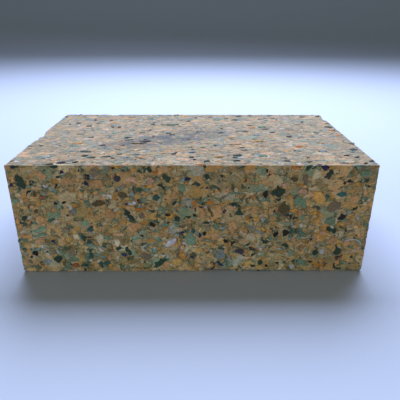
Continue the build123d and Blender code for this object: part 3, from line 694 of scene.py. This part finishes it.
def body_mesh(inlaid):
    """The sawn block of crumb, in relief, sunk under each inlaid piece and crumbling at its edges."""
    places, quads, direction = lattice_box()

    # The sawn envelope of the CAD solids, torn places included.
    envelope = bmesh.new()
    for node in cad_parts.values():
        envelope.from_mesh(node.data)
    tree = BVHTree.FromBMesh(envelope)
    envelope.free()
    places = np.array([tree.find_nearest(place)[0][:] for place in places])

    mesh = bpy.data.meshes.new("bonded_crumb_body")
    mesh.from_pydata(places.tolist(), [], quads.tolist())

    def add_relief(holder):
        holder.modifiers.new("relief", "NODES").node_group = relief_tree()

    mesh = applied(mesh, add_relief)
    relief = np.empty(len(mesh.vertices))
    mesh.attributes["relief"].data.foreach_get("value", relief)
    mesh.attributes.remove(mesh.attributes["relief"])
    relief *= MM

    # Under each chip the body lies deeper, so that the chip's own surface shows.
    chips = bmesh.new()
    for mesh_inlaid in inlaid:
        chips.from_mesh(mesh_inlaid)
    tree = BVHTree.FromBMesh(chips)
    chips.free()
    unit = direction / np.linalg.norm(direction, axis=1)[:, None]
    for i, (place, out) in enumerate(zip(places, unit)):
        hit = tree.ray_cast(Vector(place + out * ABOVE), Vector(-out), 2 * ABOVE)
        if hit[0] is not None:
            relief[i] = min(relief[i], ABOVE - hit[3] - COVER)
        elif tree.find_nearest(place, RIM_REACH)[0] is not None:
            relief[i] = min(relief[i], RIM_LEVEL)

    # Edges are sawn crisp but crumble a little.
    crumble = sum(wander(places, size, reach, seed)
                  for seed, (size, reach) in enumerate(CRUMBLES, CRUMBLE_SEED))
    distance_in = np.minimum(places - LOW, HIGH - places)
    distance_in.sort(axis=1)
    near_edge = np.exp(-distance_in[:, 1] / EDGE_REACH)[:, None]
    places = places + unit * relief[:, None] * (1 - EDGE_CALM * near_edge) + crumble * near_edge
    under = np.exp(-(places[:, 2] - LOW[2]) / UNDER_REACH) * near_edge[:, 0]
    places[:, 2] += np.abs(wander(places, *UNDER_TEAR, UNDER_SEED)[:, 2]) * under
    places[:, 2] = np.maximum(places[:, 2], LOW[2])
    set_places(mesh, places)
    mesh.shade_smooth()
    return mesh


def make_body(inlaid):
    body = add_piece("BondedCrumbBody", body_mesh(inlaid), crumb_material(), "bonded_crumb_body")


# ---------------------------------------------------------------- fibres

# Routes in the front face in millimetres, (x, z) from its lower left corner.
YARN_ROUTE = [(427, 46), (434, 49), (442, 49.5), (449, 46),
              (452, 40), (448, 35), (440, 31.5), (431, 29)]
THREAD_ROUTE = [(217, 49), (213, 43), (210, 35), (207, 24)]
TUFT = (451, 39)           # where the plies of the yarn have come apart
PROUD = -0.1 * MM          # how far in front of the face the middle of a fibre lies
STEP = 0.5 * MM            # spacing of the rings along a ply
PLY_SIDES = 8
YARN = (1.5 * MM, 3, 3.6 * MM)       # diameter, number of plies, and length of one turn of the twist
THREAD = (1.0 * MM, 2, 2.4 * MM)
YARN_COLOUR = (216, 210, 218)
THREAD_COLOUR = (96, 84, 146)
FRAY = (1.4, 1.5 * MM)     # how much the plies part at an end, and over what length
TUFT_FRAY = (1.6, 3.0 * MM)
LUMPS = (0.12, 1.1 * MM)   # how much a ply thickens and thins, and over what length
LUMPS_APART = 2.1          # so that the plies don't thicken at the same places
TAPER = 1.2 * MM
THINNEST = 0.15            # share of a ply's radius that is left at its very end


def centre_line(route):
    """Evenly spaced points along the smooth line of a route."""
    curve = bpy.data.curves.new("route", "CURVE")
    curve.dimensions = "3D"
    spline = curve.splines.new("NURBS")
    spline.points.add(len(route) - 1)
    for point, (x, z) in zip(spline.points, route):
        point.co = (LOW[0] + x * MM, LOW[1] - PROUD, z * MM, 1.0)
    spline.order_u = 3
    spline.use_endpoint_u = True
    curve.resolution_u = 12
    holder = bpy.data.objects.new("route", curve)
    bpy.context.collection.objects.link(holder)
    depsgraph = bpy.context.evaluated_depsgraph_get()
    points = mesh_arrays(bpy.data.meshes.new_from_object(holder.evaluated_get(depsgraph)))
    bpy.data.objects.remove(holder)
    lengths = np.concatenate([[0], np.linalg.norm(np.diff(points, axis=0), axis=1).cumsum()])
    even = np.linspace(0, lengths[-1], round(lengths[-1] / STEP))
    return np.stack([np.interp(even, lengths, points[:, axis]) for axis in range(3)], axis=1)


def twisted_mesh(name, route, diameter, plies, pitch):
    """Plies twisted round one another, fraying apart and tapering at both ends."""
    line = centre_line(route)
    tangent = np.gradient(line, axis=0)
    tangent /= np.linalg.norm(tangent, axis=1)[:, None]
    out = np.array((0.0, -1.0, 0.0))
    side = np.cross(tangent, out)
    along = np.arange(len(line)) * STEP
    to_end = np.minimum(along, along[-1] - along)
    tuft = LOW + np.array((TUFT[0] * MM, 0, TUFT[1] * MM))
    to_tuft = np.linalg.norm((line - tuft)[:, [0, 2]], axis=1)
    fray = 1 + FRAY[0] * np.exp(-to_end / FRAY[1])
    fray = fray + TUFT_FRAY[0] * np.exp(-(to_tuft / TUFT_FRAY[1]) ** 2)
    ply_radius = diameter / 2 / (1 + 1 / math.sin(math.pi / plies))
    verts, faces = [], []
    for ply in range(plies):
        phase = 2 * math.pi * (along / pitch + ply / plies)
        reach = (diameter / 2 - ply_radius) * fray
        middle = line + side * (np.cos(phase) * reach)[:, None] + out * (np.sin(phase) * reach)[:, None]
        lumpy = 1 + LUMPS[0] * np.sin(along / LUMPS[1] + LUMPS_APART * ply)
        radius = ply_radius * lumpy * np.clip(to_end / TAPER, THINNEST, 1.0)
        first = len(verts)
        for i, centre in enumerate(middle):
            for turn in range(PLY_SIDES):
                angle = 2 * math.pi * turn / PLY_SIDES
                spoke = side[i] * math.cos(angle) + out * math.sin(angle)
                verts.append(centre + spoke * radius[i])
        last = first + (len(middle) - 1) * PLY_SIDES
        for ring in range(first, last, PLY_SIDES):
            above = ring + PLY_SIDES
            for turn in range(PLY_SIDES):
                after = (turn + 1) % PLY_SIDES
                faces.append((ring + turn, ring + after, above + after, above + turn))
        faces.append(tuple(first + turn for turn in reversed(range(PLY_SIDES))))
        faces.append(tuple(last + turn for turn in range(PLY_SIDES)))
    mesh = bpy.data.meshes.new(name)
    mesh.from_pydata([tuple(vert) for vert in verts], [], faces)
    bm = bmesh.new()
    bm.from_mesh(mesh)
    bmesh.ops.recalc_face_normals(bm, faces=bm.faces)
    bm.to_mesh(mesh)
    bm.free()
    mesh.shade_smooth()
    return mesh


STRAND_SIZE = 0.5          # in millimetres, like the size below
DUST_SIZE = 4.0
STRAND_RELIEF = 0.2 * MM


def fibre_material(name, rgb):
    """Spun fibre: fine streaks, a dusting of crumb, and a soft sheen."""
    material, net, shader, position = new_material(name)
    coords = net.in_millimetres(position)
    streak = net.smooth(net.noise(coords, STRAND_SIZE, 3.0, 0.6).outputs[0], 0.3, 0.7, 0.70, 1.10)
    dust = net.smooth(net.noise(coords, DUST_SIZE, 3.0).outputs[0], 0.46, 0.64, 0.0, 0.7)
    colour = net.mix_colour(dust, shaded(net, linear(*rgb), streak), linear(*BINDER))
    net.feed(shader.inputs["Base Color"], colour)
    bump = net.node("ShaderNodeBump", Height=streak, Strength=0.5, Distance=STRAND_RELIEF)
    net.feed(shader.inputs["Normal"], bump.outputs[0])
    shader.inputs["Roughness"].default_value = 0.75
    shader.inputs["Sheen Weight"].default_value = 0.5
    return material


def make_fibres():
    yarn = twisted_mesh("white_yarn_loop", YARN_ROUTE, *YARN)
    yarn_material = fibre_material("white_yarn_loop", YARN_COLOUR)
    add_piece("WhiteYarnLoop", yarn, yarn_material, "white_yarn_loop")
    thread = twisted_mesh("purple_thread", THREAD_ROUTE, *THREAD)
    thread_material = fibre_material("purple_thread", THREAD_COLOUR)
    add_piece("PurpleThread", thread, thread_material, "purple_thread")
    return [yarn, thread]


make_camera()
make_lights()
make_floor()
inlaid = make_chips() + make_fibres()
make_body(inlaid)
